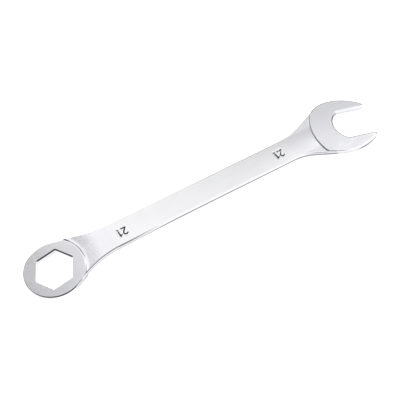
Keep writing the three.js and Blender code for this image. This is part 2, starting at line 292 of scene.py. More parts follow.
class Shell:
    """Collects rows of points and the faces between them, then makes one Blender object."""

    def __init__(self, placing=FLAT):
        self.placing = TO_ROW @ placing
        self.points, self.faces = [], []
        self.edge, self.wall, self.dark = [], [], []

    def row(self, ring, heights, edge=0.0, wall=0.0, dark=0.0):
        heights = np.broadcast_to(heights, (len(ring),))
        first = len(self.points)
        self.points += [(x, y, z) for (x, y), z in zip(ring, heights)]
        for values, value in ((self.edge, edge), (self.wall, wall), (self.dark, dark)):
            values += list(np.broadcast_to(value, (len(ring),)))
        return list(range(first, len(self.points)))

    def band(self, upper, lower, closed=True):
        count = len(upper) if closed else len(upper) - 1
        for i in range(count):
            j = (i + 1) % len(upper)
            self.faces.append((upper[i], lower[i], lower[j], upper[j]))

    def fill(self, outer, holes=(), spacing=1.6, up=True):
        """Triangles between the outer row and the holes, over a net of inner points."""
        rings = [outer, *holes]
        flat = [np.array([self.points[i][:2] for i in ring]) for ring in rings]
        low, high = flat[0].min(0), flat[0].max(0)
        net = []
        for k, y in enumerate(np.arange(low[1], high[1], spacing * 0.87)):
            xs = np.arange(low[0] + spacing / 2 * (k % 2), high[0], spacing)
            net += [(x, y) for x in xs]
        net = np.array(net).reshape(-1, 2)
        keep = inside(flat[0], net)
        for ring in flat[1:]:
            keep &= ~inside(ring, net)
        net = net[keep]
        for ring in flat:
            net = net[distance(ring, net) > spacing * 0.35]
        base = [i for ring in rings for i in ring]
        level = self.points[outer[0]][2]
        extra = self.row(net, level)
        ids = base + extra
        coords = [Vector(self.points[i][:2]) for i in ids]
        edges, at = [], 0
        for ring in rings:
            edges += [(at + i, at + (i + 1) % len(ring)) for i in range(len(ring))]
            at += len(ring)
        spots, _, tris, origin, _, _ = geometry.delaunay_2d_cdt(coords, edges, [], 0, 1e-7, True)
        places = np.array([tuple(v) for v in spots])
        known = []
        for spot, source in zip(places, origin):
            known.append(ids[source[0]] if source else self.row([spot], level)[0])
        corners = np.array([list(tri) for tri in tris])
        middle = places[corners].mean(1)
        keep = inside(flat[0], middle)
        for ring in flat[1:]:
            keep &= ~inside(ring, middle)
        for a, b, c in corners[keep]:
            ab, ac = places[b] - places[a], places[c] - places[a]
            left = ab[0] * ac[1] - ab[1] * ac[0]
            if abs(left) < SLIVER * max(ab @ ab, ac @ ac):
                continue
            tri = (known[a], known[b], known[c])
            self.faces.append(tri if (left > 0) == up else tri[::-1])
        return extra

    def make(self, name, material, slot, *nodes):
        mesh = bpy.data.meshes.new(name)
        mesh.from_pydata([self.placing @ Vector(p) for p in self.points], [], self.faces)
        for label, values in (("edge", self.edge), ("wall", self.wall), ("dark", self.dark)):
            layer = mesh.attributes.new(label, "FLOAT", "POINT")
            layer.data.foreach_set("value", values)
        work = bmesh.new()
        work.from_mesh(mesh)
        bmesh.ops.recalc_face_normals(work, faces=work.faces)
        work.to_mesh(mesh)
        work.free()
        mesh.materials.append(material)
        mesh.shade_smooth()
        mesh.set_sharp_from_angle(angle=math.radians(40))
        piece = bpy.data.objects.new(name, mesh)
        bpy.context.scene.collection.objects.link(piece)
        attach(piece, "root")
        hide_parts(*nodes)
        return piece


def rounding(steps=7):
    """Sine, cosine and share of the turn along a quarter-round edge, from face to wall."""
    turns = np.linspace(0, math.pi / 2, steps)
    return [(math.sin(t), math.cos(t), t / (math.pi / 2)) for t in turns]


def edge_shine(turned):
    """How polished an edge is, from none at the face to none at the wall."""
    return math.sin(math.pi * min(turned + 0.08, 1.0))


def edge_dark(turned):
    """Where round an edge its painted shade line lies."""
    return min(1.0, 1.6 * math.sin(math.pi * turned)) if turned > 0 else 0.0


def edge_wall(turned):
    """The last part of an edge is already a little darker, like the wall below it: duller finish
    and painted shade.
    """
    return 0.4 * max(0.0, (turned - 0.8) / 0.2)


# Down a wall: share of its height, how dark it is from a duller forged finish and painted shade,
# and outward belly.
WALL_ROWS = ((0.15, 0.75, 0.5), (0.35, 1.0, 0.9), (0.55, 1.0, 1.0), (0.75, 0.6, 0.75),
             (0.9, 0.2, 0.36))


def rim_rows(shell, ring, top, low, top_edge, low_edge, bulge=0.0, inward=False, dark=0.0,
             dullness_and_shade=1.0, early=0.0):
    """Rows over an upper edge, down a wall and round a lower edge. Returns first and last."""
    normal = outward(ring) * (-1 if inward else 1)
    radius = np.broadcast_to(top_edge, (len(ring),))
    dark = np.broadcast_to(dark, (len(ring),))
    rows = [shell.row(ring - normal * (radius + FACE_INSET)[:, None], top)]
    # dark is painted shade round the upper edge; early carries it a little onto the face.
    for sine, cosine, turned in rounding():
        rows.append(shell.row(
            ring - normal * (radius * (1 - sine))[:, None], top - radius * (1 - cosine),
            edge=edge_shine(turned), wall=edge_wall(turned),
            dark=dark * np.maximum(edge_dark(turned), early * (1 - turned))))
    for share, dull_and_shade, belly in WALL_ROWS:
        height = (top - radius) * (1 - share) + (low + low_edge) * share
        rows.append(shell.row(ring + normal * belly * bulge, height, wall=dull_and_shade * dullness_and_shade))
    for sine, cosine, _ in reversed(rounding()):
        rows.append(shell.row(ring - normal * low_edge * (1 - sine), low + low_edge * (1 - cosine),
                              edge=0.3, wall=0.2))
    rows.append(shell.row(ring - normal * (low_edge + FACE_INSET), low))
    for upper, lower in zip(rows, rows[1:]):
        shell.band(upper, lower)
    return rows[0], rows[-1]


def facing(ring, across, ahead, start, end, inward=False):
    """From 0 to 1 as the outline's side turns to face the direction (across, ahead).

    It begins and ends where the cosine of the angle between them is about start and end.
    """
    normal = outward(ring) * (-1 if inward else 1)
    return smooth_step((normal @ np.array([across, ahead]) - start) / (end - start))


def smooth_step(value):
    value = np.clip(value, 0, 1)
    return value * value * value * (value * (6 * value - 15) + 10)


# ---------- ring ----------


def seen_ring():
    """The ring's outline, ground very slightly oval away from its rim."""
    ring = evenly(ring_outline(), 0.35, 6)
    turn = np.arctan2(ring[:, 1], ring[:, 0]) % (2 * math.pi)
    oval = RING_OVAL * np.cos(2 * (turn - RING_OVAL_TURN))
    oval *= smooth_step((turn - math.radians(85)) / math.radians(40))
    oval *= smooth_step((math.radians(335) - turn) / math.radians(30))
    return ring + outward(ring) * oval[:, None]


def build_ring(material):
    shell = Shell(RING_PLACE)
    ring = seen_ring()
    hole = evenly(hexagon(), 0.3, 2)
    top, low = 0.0, -RING_THICKNESS
    near = facing(ring, -0.2, -1.0, -0.4, 0.5)
    rim = facing(ring, 1.0, 0.0, 0.3, 0.8)
    edge = FAR_EDGE + (RING_NEAR_EDGE - FAR_EDGE) * near
    edge = edge * (1 - rim) + RIM_EDGE * rim
    # Painted shade: the dark outline is strongest on the -Y side and fades out before the neck.
    dark = 0.95 * facing(ring, -0.2, -0.98, 0.35, 0.95) * (1 - facing(ring, 1.0, 0.0, 0.05, 0.5))
    dark += 0.4 * facing(ring, -1.0, 0.6, 0.4, 1.0) + 0.3 * facing(ring, 0.3, -0.95, 0.7, 1.0)
    # How dark the walls are on each side: duller forged finish and painted shade.
    dull_and_shade = 0.27 + 0.73 * facing(ring, 0.75, -0.65, 0.7, 1.0)
    face, back = rim_rows(shell, ring, top, low, edge, LOW_EDGE, bulge=RING_BELLY,
                          dark=np.minimum(dark, 1.0) * (1 - rim) + RIM_SHADE * rim,
                          dullness_and_shade=dull_and_shade, early=0.4 * (1 - rim))
    broad = facing(hole, -0.35, -0.94, 0.45, 0.75, inward=True)
    hole = hole - outward(hole) * (HEX_TIGHTER + HEX_TIGHTER * broad)[:, None]
    hole_edge = HEX_SIDE_EDGE + (HEX_EDGE - HEX_SIDE_EDGE) * broad
    # Painted shade on the hexagon's upper edge where it faces -Y, and painted shade with a duller
    # finish on its walls.
    hole_face, hole_back = rim_rows(shell, hole, top, low, hole_edge, HEX_LOW_EDGE,
                                    inward=True, dark=broad, dullness_and_shade=0.36, early=0.3)
    shell.fill(face, [hole_face], up=True)
    shell.fill(back, [hole_back], up=False)
    return shell.make("ring_end", material, "ring_plating", "ring_head")


# ---------- necks ----------


def neck_rows(across):
    """Points round a neck's section: surface, place across, inset, height, edge and wall."""
    loop = []
    for t in across:
        loop.append(("top", t, 0, 0, 0.0, 0.0))
    for sine, cosine, turned in rounding()[1:]:
        loop.append(("high_top", 1, FAR_EDGE * (1 - sine), FAR_EDGE * (1 - cosine),
                     edge_shine(turned), edge_wall(turned)))
    for share, dull_and_shade, _ in WALL_ROWS:
        loop.append(("high_wall", 1, 0, share, 0.0, dull_and_shade))
    for sine, cosine, _ in reversed(rounding()):
        loop.append(("high_low", 1, LOW_EDGE * (1 - sine), LOW_EDGE * (1 - cosine), 0.3, 0.2))
    for t in reversed(across):
        loop.append(("low", t, 0, 0, 0.0, 0.0))
    for sine, cosine, _ in rounding()[1:]:
        loop.append(("side_low", 0, LOW_EDGE * (1 - sine), LOW_EDGE * (1 - cosine), 0.3, 0.2))
    for share, dull_and_shade, _ in reversed(WALL_ROWS):
        loop.append(("side_wall", 0, 0, share, 0.0, dull_and_shade))
    for sine, cosine, turned in reversed(rounding()[1:]):
        loop.append(("side_top", 0, NEAR_EDGE * (1 - sine), NEAR_EDGE * (1 - cosine),
                     edge_shine(turned), edge_wall(turned)))
    return loop


def section_y(kind, t, inset, x, low_side, high_side):
    low, high = low_side(x), high_side(x)
    if kind == "top":
        return low + NEAR_EDGE + (high - low - NEAR_EDGE - FAR_EDGE) * t
    if kind == "low":
        return low + LOW_EDGE + (high - low - 2 * LOW_EDGE) * t
    if kind.startswith("high"):
        return high - inset
    return low + inset


def section_z(kind, amount, x, y, top_at, low_at):
    top, low = top_at(x, y), low_at(x, y)
    if kind == "top":
        return top
    if kind == "low":
        return low
    if kind.endswith("_top"):
        return top - amount
    if kind.endswith("_low"):
        return low + amount
    upper, lower = top - (FAR_EDGE if kind.startswith("high") else NEAR_EDGE), low + LOW_EDGE
    return upper * (1 - amount) + lower * amount


def crown(y):
    """How far the bar's face has dropped at y from its middle."""
    return CROWN * min(abs(y) / SHANK_HALF_WIDTH[0], 1.0) ** 2


def meeting(paths, start, toward, border, to_border):
    """How far along X each path, which gives y and z for an x, first enters the border."""
    xs = np.linspace(start, toward, 260)
    entered = []
    for path in paths:
        spots = np.array([to_border(x, *path(x)) for x in xs])
        hits = np.flatnonzero(inside(border, spots))
        entered.append(int(hits[0]) if len(hits) else len(xs) - 1)
    outer, inner = xs[np.array(entered) - 1], xs[np.array(entered)]
    for _ in range(12):
        middle = (outer + inner) / 2
        spots = np.array([to_border(x, *path(x)) for x, path in zip(middle, paths)])
        within = inside(border, spots)
        inner = np.where(within, middle, inner)
        outer = np.where(within, outer, middle)
    return outer


def hollow_shade(gap, y):
    """How much painted shade darkens the relief behind the ring's rim, by its gap from the rim.

    It follows the photograph, and is painted, not caused by the shape.
    """
    depth = HOLLOW_SHADE[0] + HOLLOW_SHADE[1] * float(smooth_step((y + 1) / 8))
    depth *= float(smooth_step((gap - 0.4) / 1.6)) * float(1 - smooth_step((gap - 2.0) / 10))
    return depth * (1.0 + 0.5 * noise.noise(Vector((gap, y, 0)) * 0.9))


def build_neck(name, slot, node, material, start, toward, border, to_border, low_side, high_side,
               top_at, low_at, shades, groove=0.0, hollow=False):
    """Runs from the bar's end to a head, and a little way in under the head's rounded rim."""
    shell = Shell()
    across = 0.5 - 0.5 * np.cos(np.linspace(0, math.pi, 33))
    loop = neck_rows(across)
    stations = 1 - (1 - np.linspace(0, 1, 56)) ** 2.2

    def follow(kind, t, inset, amount):
        def path(x):
            y = section_y(kind, t, inset, x, low_side, high_side)
            return y, section_z(kind, amount, x, y, top_at, low_at)
        return path

    paths = [follow(*column[:4]) for column in loop]
    ends = meeting(paths, start, toward, border, to_border)
    ends += math.copysign(UNDER_RIM, toward - start)
    columns = []
    for (kind, t, _, _, edge, wall), path, end in zip(loop, paths, ends):
        line = np.array([(x, *path(x)) for x in start + (end - start) * stations])
        spots = np.array([to_border(*spot) for spot in line])
        gaps = np.where(inside(border, spots), 0, distance(border, spots))
        if kind == "top" or kind == "side_top":
            depth = groove * float(smooth_step((1 - t) / 0.12))
            line[:, 2] -= depth * np.exp(-(gaps / GROOVE_WIDTH) ** 2)
        columns.append((line, edge, wall, kind, gaps))
    rows = []
    for s in range(len(stations)):
        first = len(shell.points)
        for line, edge, wall, kind, gaps in columns:
            shell.points.append(tuple(line[s]))
            shell.edge.append(edge)
            # Walls darkened by a duller forged finish and painted shade; painted shade lines along
            # the upper edges, and painted shade on the relief behind the ring.
            shell.wall.append(wall * float(wall_shade(line[s][0])) if "wall" in kind else wall)
            shade = {"side_top": shades[0], "high_top": shades[1]}.get(kind)
            dark = shade(line[s][0]) * edge if shade else 0.0
            if hollow and kind == "top":
                dark = hollow_shade(gaps[s], line[s][1])
            shell.dark.append(dark)
        rows.append(list(range(first, len(shell.points))))
    for upper, lower in zip(rows, rows[1:]):
        shell.band(upper, lower)
    shell.faces.append(tuple(rows[0]))
    shell.faces.append(tuple(reversed(rows[-1])))
    return shell.make(name, material, slot, node)


def to_ring_plane(x, y, z):
    """Position along and across the ring's own tilted plane."""
    return (x * math.cos(RING_TILT) + (z + RING_DROP) * math.sin(RING_TILT), y)


def to_jaw_plane(x, y, _):
    """Position along and across the jaw. The head isn't tilted, so height doesn't matter."""
    dx, dy = x - NUT_CENTRE[0], y - NUT_CENTRE[1]
    c, s = math.cos(JAW_ANGLE), math.sin(JAW_ANGLE)
    return (c * dx + s * dy, -s * dx + c * dy)


def flank(x):
    """The -Y side is a little fuller towards the ring."""
    return NEAR_FULLER * float(smooth_step((84 - x) / 52))


def far_flank(x):
    """The +Y side's fullness begins between the ring and the bar."""
    return FAR_FULLER * float(smooth_step((x - 22) / (SHANK_START - 22)))


def ring_neck_half(x):
    length = SHANK_START - SHOULDER[0] * math.cos(RING_TILT)
    along = min(max(SHANK_START - x, 0) / length, 1.15)
    return SHANK_HALF_WIDTH[0] + (SHOULDER[1] - SHANK_HALF_WIDTH[0]) * along ** NECK_FLARE


def lower_of(a, b, softness):
    """The lower of two levels, with a soft turn where they meet."""
    gap = max(softness - abs(a - b), 0) / softness
    return min(a, b) - gap * gap * softness / 4


def ring_neck_top(x, y):
    radius = math.hypot(x / math.cos(RING_TILT), y)
    cone = RELIEF_FOOT + RELIEF_GRADE * (radius - RIM_REACH)
    return lower_of(cone, half_start - crown(y), RELIEF_SOFTNESS)


def ring_neck_low(x, y):
    under = x * math.tan(RING_TILT) - RING_DROP - RING_THICKNESS / math.cos(RING_TILT)
    return lower_of(under + RIM_STEP_BOTTOM, -half_start, NECK_LOW_SOFTNESS)


def neck_side(side, slope, x):
    start = JAW_NECK_CORNER - JAW_NECK_BLEND
    out = 0.0
    if x > start:
        run = min(x - start, 2 * JAW_NECK_BLEND)
        out = slope * run * run / (4 * JAW_NECK_BLEND)
        out += slope * max(x - start - 2 * JAW_NECK_BLEND, 0)
    if side < 0:
        out -= JAW_NECK_LOW_CURVE * max(x - JAW_NECK_LOW_BEND, 0) ** 2
    return side * (SHANK_HALF_WIDTH[1] + out)


def open_neck_high(x):
    """The open neck's +Y side. Its fullness fades out before the head's outline."""
    return neck_side(1, JAW_NECK_SLOPE[1], x) + FAR_FULLER * float(smooth_step((174 - x) / 16))


# ---------- bar ----------


def shank_half(x):
    along = (x - SHANK_START) / (SHANK_END - SHANK_START)
    return (SHANK_THICKNESS[0] * (1 - along) + SHANK_THICKNESS[1] * along) / 2


def shank_width(x):
    along = (x - SHANK_START) / (SHANK_END - SHANK_START)
    return SHANK_HALF_WIDTH[0] * (1 - along) + SHANK_HALF_WIDTH[1] * along


def shank_top(x, y):
    return shank_half(x) - crown(y)


# Offset from the digit's outline, and depth below the face, down the side of a stamping.
STAMP_WALL = [(0.1, 0.0), (0.06, 0.01), (0.03, 0.05), (0.0, 0.14), (-0.01, 0.25), (-0.03, 0.33)]
STAMP_SHADE = 0.85       # how dark that side is painted, as shade, below its rounded lip
STAMP_LIP = 0.04         # depth of that lip

# The same for the dark fill in it, dirt and painted shade, from the border of its top over its
# crest to its bottom.
FILL_WALL = ((-0.16, 0.23), (-0.08, 0.2), (-0.02, 0.19), (-0.04, 0.33))
FILL_BED = 0.24       # mean depth of the fill's top, and how uneven it is
FILL_UNEVEN = 0.02


def bar_shade(x):
    """The bar's -Y edge has a painted shade line near the ring, which fades out along it."""
    return 0.78 * float(smooth_step((72 - x) / 36))


def wall_shade(x):
    """The side walls of the bar and necks are darker away from the ring, as painted shade."""
    return 0.72 + 0.5 * smooth_step((x - 46) / 34)


def far_shade(x):
    """The bar's +Y edge has a painted shade line that grows towards the jaw."""
    return 0.15 + 0.8 * float(smooth_step((x - 50) / 80))


def build_shank(material, marks):
    shell = Shell()
    stations = np.linspace(SHANK_START, SHANK_END, 62)
    halves = np.array([shank_half(x) for x in stations])
    columns = []
    for side, radius in ((1, FAR_EDGE), (-1, NEAR_EDGE)):
        fuller = [flank(x) if side < 0 else FAR_FULLER for x in stations]
        widths = np.array([shank_width(x) + more for x, more in zip(stations, fuller)])
        crowns = np.array([crown(w) for w in widths])
        # Painted shade lines along the bar's upper edges, reaching onto the face on the +Y side.
        shades = np.array([bar_shade(x) if side < 0 else far_shade(x) for x in stations])
        inset = radius + FACE_INSET
        rows = [shell.row(np.stack([stations, side * (widths - inset)], 1),
                          halves - [crown(w - inset) for w in widths])]
        for sine, cosine, turned in rounding():
            inset = radius * (1 - sine)
            rows.append(shell.row(
                np.stack([stations, side * (widths - inset)], 1),
                halves - [crown(w - inset) for w in widths] - radius * (1 - cosine),
                edge_shine(turned), edge_wall(turned),
                shades * max(edge_dark(turned), 0.8 * (1 - turned) * (side > 0))))
        # Walls darkened by a duller forged finish and painted shade.
        for share, dull_and_shade, belly in WALL_ROWS:
            heights = (halves - crowns - radius) * (1 - share) + (LOW_EDGE - halves) * share
            rows.append(shell.row(np.stack([stations, side * (widths + belly * BAR_BELLY)], 1),
                                  heights, 0.0, dull_and_shade * wall_shade(stations)))
        for sine, cosine, _ in reversed(rounding()):
            rows.append(shell.row(
                np.stack([stations, side * (widths - LOW_EDGE * (1 - sine))], 1),
                LOW_EDGE * (1 - cosine) - halves, 0.3, 0.2))
        rows.append(shell.row(np.stack([stations, side * (widths - LOW_EDGE - FACE_INSET)], 1),
                              -halves))
        for upper, lower in zip(rows, rows[1:]):
            shell.band(upper, lower, closed=False)
        columns.append(rows)
    high, low = columns
    ends = []
    for x, near, far in ((SHANK_END, low[0][-1], high[0][-1]),
                         (SHANK_START, low[0][0], high[0][0])):
        ys = np.linspace(shell.points[near][1], shell.points[far][1], 17)[1:-1]
        ends.append(shell.row([(x, y) for y in ys], [shank_top(x, y) for y in ys]))
    top_loop = low[0] + ends[0] + high[0][::-1] + ends[1][::-1]
    low_loop = low[-1] + high[-1][::-1]
    holes = []
    for ring in marks:
        normal = outward(ring)
        rows = []
        for offset, depth in STAMP_WALL:
            moved = ring + normal * offset
            # Painted shade on the stamping's side below its lip.
            side_shade = STAMP_SHADE if depth > STAMP_LIP else 0.0
            heights = [shank_top(x, y) - depth for x, y in moved]
            rows.append(shell.row(moved, heights, 0.2, 0.0, side_shade))
        for upper, lower in zip(rows, rows[1:]):
            shell.band(upper, lower)
        holes.append(rows[0])
        for i in shell.fill(rows[-1], spacing=0.5):
            x, y, _ = shell.points[i]
            shell.points[i] = (x, y, shank_top(x, y) - STAMP_WALL[-1][1])
    for i in shell.fill(top_loop, holes, spacing=1.2):
        x, y, _ = shell.points[i]
        shell.points[i] = (x, y, shank_top(x, y))
    for i in shell.fill(low_loop, spacing=1.8, up=False):
        x, y, _ = shell.points[i]
        shell.points[i] = (x, y, -shank_half(x))
    for end, across in ((0, ends[1]), (-1, ends[0])):
        loop = [r[end] for r in high] + [r[end] for r in reversed(low)]
        shell.faces.append(tuple(loop + across))
    return shell.make("bar", material, "shank_plating", "shank")


def build_stamp(name, ring, material, node):
    """Dark fill lying in the bottom of one stamped digit: dirt and painted shade."""
    shell = Shell()
    normal = outward(ring)
    rows = []
    for offset, depth in FILL_WALL:
        moved = ring + normal * offset
        rows.append(shell.row(moved, [shank_top(x, y) - depth for x, y in moved], 0.0, 0.0))
    for upper, lower in zip(rows, rows[1:]):
        shell.band(upper, lower)
    face = shell.fill(rows[0], spacing=0.25)
    for i in face:
        x, y, _ = shell.points[i]
        bed = FILL_UNEVEN * noise.noise(Vector((x, y, 0)) * 2.5)
        shell.points[i] = (x, y, shank_top(x, y) - FILL_BED + bed)
    shell.fill(rows[-1], spacing=0.5, up=False)
    return shell.make(name, material, "stamp_infill", node)


# ---------- open head ----------


def build_head(material):
    shell = Shell(JAW_PLACE)
    ring = evenly(head_outline(), 0.3, 3)
    far_side = facing(ring, 0.3, 0.95, -0.1, 0.5)
    throat = facing(ring, 1.0, 0.1, 0.3, 0.8) * (np.linalg.norm(ring, axis=1) < THROAT_RADIUS + 0.1)
    ring = ring + outward(ring) * (FAR_FULLER * far_side + THROAT_FULLER * throat)[:, None]
    half = HEAD_THICKNESS / 2
    near = facing(ring, 0.0, -1.0, -0.3, 0.5)
    from_pad = np.abs(np.linalg.norm(ring - np.array(PAD_CENTRE), axis=1) - PAD_RADIUS)
    pad = smooth_step((0.6 - from_pad) / 0.5) * facing(ring, -1.0, 0.0, 0.0, 0.4)
    edge = HEAD_EDGE + HEAD_NEAR_MORE * near
    edge = edge * (1 - pad) + PAD_EDGE * pad
    # Painted shade lines along the far edges, round the prong tips and along the pad's step.
    far = np.maximum(facing(ring, 0.3, 0.95, -0.1, 0.5), facing(ring, 1.0, 0.0, 0.55, 0.9))
    inner = np.linalg.norm(ring, axis=1) < JAW_INSIDE
    dark = (0.92 + 0.08 * inner) * far * (1 - pad)
    dark += pad * (0.86 + 0.14 * facing(ring, -0.8, -0.6, 0.6, 0.95))
    # How dark the walls are on each side: duller forged finish and painted shade.
    dull_and_shade = 0.48 + 1.1 * facing(ring, 0.75, -0.66, 0.7, 0.95)
    face, back = rim_rows(shell, ring, half, -half, edge, LOW_EDGE, bulge=HEAD_BELLY,
                          dark=dark, dullness_and_shade=dull_and_shade * (1 - 0.8 * pad),
                          early=0.95 * far * (1 - pad) + 0.5 * pad)
    shell.fill(face, up=True)
    shell.fill(back, up=False)
    return shell.make("open_end", material, "head_plating", "open_head")


# ---------- materials ----------

END_FACE = (0.83, 0.83, 0.85)
NECK_FACE = (0.85, 0.85, 0.87)
BAR_FACE = (0.868, 0.868, 0.873)
# Side walls: the colour of a duller forged finish together with painted shade
WALL_DULL_AND_SHADE = (0.22, 0.22, 0.235)
POLISHED_EDGE = (0.9, 0.9, 0.92)
# Painted shade: the dark lines along edges, on the sides of the stampings and on the relief behind
# the ring
PAINTED_SHADE_LINE = (0.03, 0.03, 0.036)
# Colours of the dark fill in the stampings: dirt and painted shade
DIRT_AND_SHADE_DEEP = (0.022, 0.022, 0.026)
DIRT_AND_SHADE_LIGHT = (0.085, 0.085, 0.095)
BARE_METAL = (0.8, 0.8, 0.82)
GRINDING_LINES = 0.976   # brightness of a grinding line, as a share of the face's
GROUND = 0.19            # roughness of the ground faces
FORGED = 0.2             # roughness of the necks
EVEN = (1, 1, 1)         # grain that isn't drawn out in any direction
BRUSHED = (170, 1300, 1300)

def node(tree, kind, **settings):
    made = tree.nodes.new(kind)
    for key, value in settings.items():
        setattr(made, key, value)
    return made


def grain(tree, stretch, scale, turn=0.0, detail=4.0):
    """Noise drawn out into fine lines, as grinding or brushing leaves."""
    coords = node(tree, "ShaderNodeTexCoord")
    mapping = node(tree, "ShaderNodeMapping")
    mapping.inputs["Scale"].default_value = stretch
    mapping.inputs["Rotation"].default_value = (0, 0, turn)
    tree.links.new(coords.outputs["Object"], mapping.inputs["Vector"])
    texture = node(tree, "ShaderNodeTexNoise")
    texture.inputs["Scale"].default_value = scale
    texture.inputs["Detail"].default_value = detail
    tree.links.new(mapping.outputs["Vector"], texture.inputs["Vector"])
    return texture.outputs["Fac"]


def ramp(tree, source, low, high, bottom, top):
    made = node(tree, "ShaderNodeMapRange", interpolation_type="SMOOTHSTEP")
    made.inputs["From Min"].default_value = low
    made.inputs["From Max"].default_value = high
    made.inputs["To Min"].default_value = bottom
    made.inputs["To Max"].default_value = top
    tree.links.new(source, made.inputs["Value"])
    return made.outputs["Result"]


def math_node(tree, operation, a, b):
    made = node(tree, "ShaderNodeMath", operation=operation)
    for socket, value in zip(made.inputs, (a, b)):
        if isinstance(value, (int, float)):
            socket.default_value = value
        else:
            tree.links.new(value, socket)
    return made.outputs["Value"]


def mix_colour(tree, share, a, b):
    made = node(tree, "ShaderNodeMix", data_type="RGBA")
    tree.links.new(share, made.inputs[0])
    for index, value in ((6, a), (7, b)):
        if isinstance(value, tuple):
            made.inputs[index].default_value = (*value, 1)
        else:
            tree.links.new(value, made.inputs[index])
    return made.outputs[2]


def satin_chrome(name, face, roughness, turn=0.0, pebble=0.0):
    """Plated steel: brushed faces, walls darker from a duller forged finish and painted shade,
    painted shade lines along some edges, polished and slightly worn edges.
    """
    material = bpy.data.materials.new(name)
    material.use_nodes = True
    tree = material.node_tree
    shader = tree.nodes["Principled BSDF"]
    shader.inputs["Metallic"].default_value = 1.0
    lines = grain(tree, BRUSHED, 1.0, turn)
    clouds = grain(tree, EVEN, 90, 0.0, 5.0)
    specks = grain(tree, EVEN, 2600, 0.0, 2.0)
    edge = node(tree, "ShaderNodeAttribute", attribute_name="edge").outputs["Fac"]
    side = node(tree, "ShaderNodeAttribute", attribute_name="wall").outputs["Fac"]
    line = node(tree, "ShaderNodeAttribute", attribute_name="dark").outputs["Fac"]
    worn = math_node(tree, "MULTIPLY", edge, ramp(tree, clouds, 0.35, 0.65, 0.2, 0.7))
    faint = tuple(c * GRINDING_LINES for c in face)
    colour = mix_colour(tree, ramp(tree, lines, 0.35, 0.65, 0.0, 1.0), faint, face)
    colour = mix_colour(tree, ramp(tree, clouds, 0.3, 0.7, 0.0, 0.3), colour, faint)
    colour = mix_colour(tree, worn, colour, POLISHED_EDGE)
    # Walls: duller forged finish and painted shade, by the wall attribute.
    colour = mix_colour(tree, side, colour, WALL_DULL_AND_SHADE)
    # Painted shade lines along edges, in the stampings and on the relief behind the ring.
    colour = mix_colour(tree, line, colour, PAINTED_SHADE_LINE)
    tree.links.new(colour, shader.inputs["Base Color"])
    rough = ramp(tree, lines, 0.3, 0.7, roughness - 0.03, roughness + 0.04)
    rough = math_node(tree, "ADD", rough, ramp(tree, clouds, 0.3, 0.7, -0.03, 0.03))
    rough = math_node(tree, "ADD", rough, math_node(tree, "MULTIPLY", side, 0.08))
    rough = math_node(tree, "SUBTRACT", rough, math_node(tree, "MULTIPLY", worn, 0.1))
    tree.links.new(rough, shader.inputs["Roughness"])
    height = math_node(tree, "ADD", math_node(tree, "MULTIPLY", lines, 0.25),
                       math_node(tree, "MULTIPLY", specks, 0.12))
    if pebble:
        lumps = math_node(tree, "MULTIPLY", grain(tree, EVEN, 620, 0.0, 3.0), pebble)
        height = math_node(tree, "ADD", height, lumps)
    height = math_node(tree, "ADD", height, math_node(tree, "MULTIPLY", clouds, 0.8))
    bump = node(tree, "ShaderNodeBump")
    bump.inputs["Strength"].default_value = 0.12
    bump.inputs["Distance"].default_value = 0.00004
    tree.links.new(height, bump.inputs["Height"])
    tree.links.new(bump.outputs["Normal"], shader.inputs["Normal"])
    return material


def dirt_and_shade_fill():
    """Dirt and painted shade in the bottom of the stamped figures, with a little bare metal
    showing.
    """
    material = bpy.data.materials.new("stamp_dirt_and_shade")
    material.use_nodes = True
    tree = material.node_tree
    shader = tree.nodes["Principled BSDF"]
    bare = ramp(tree, grain(tree, EVEN, 900, 0.0, 1.0), 0.58, 0.64, 0.0, 1.0)
    tree.links.new(ramp(tree, bare, 0.0, 1.0, 0.3, 1.0), shader.inputs["Metallic"])
    clots = grain(tree, EVEN, 1500, 0.0, 5.0)
    grit = grain(tree, EVEN, 6000, 0.0, 2.0)
    dirt = mix_colour(tree, ramp(tree, clots, 0.35, 0.7, 0.0, 1.0), DIRT_AND_SHADE_DEEP, DIRT_AND_SHADE_LIGHT)
    tree.links.new(mix_colour(tree, bare, dirt, BARE_METAL), shader.inputs["Base Color"])
    rough = math_node(tree, "SUBTRACT", ramp(tree, grit, 0.3, 0.7, 0.5, 0.85),
                      math_node(tree, "MULTIPLY", bare, 0.3))
    tree.links.new(rough, shader.inputs["Roughness"])
    bump = node(tree, "ShaderNodeBump")
    bump.inputs["Strength"].default_value = 0.4
    bump.inputs["Distance"].default_value = 0.00003
    tree.links.new(grit, bump.inputs["Height"])
    tree.links.new(bump.outputs["Normal"], shader.inputs["Normal"])
    return material


# ---------- assembly ----------

ring_chrome = satin_chrome("ring_chrome", END_FACE, GROUND)
neck_chrome = satin_chrome("neck_chrome", NECK_FACE, FORGED, pebble=1.5)
bar_chrome = satin_chrome("bar_chrome", BAR_FACE, GROUND)
head_chrome = satin_chrome("head_chrome", END_FACE, GROUND, turn=JAW_ANGLE)
dirt_and_shade = dirt_and_shade_fill()

figures = {}
for end, centre in (("ring_end", RING_MARK), ("jaw_end", JAW_MARK)):
    half = DIGIT_ADVANCE / 2
    figures[f"{end}_digit_2"] = digit_ring(figure_two(), (centre[0] + half, centre[1]))
    figures[f"{end}_digit_1"] = digit_ring(figure_one(), (centre[0] - half, centre[1]))

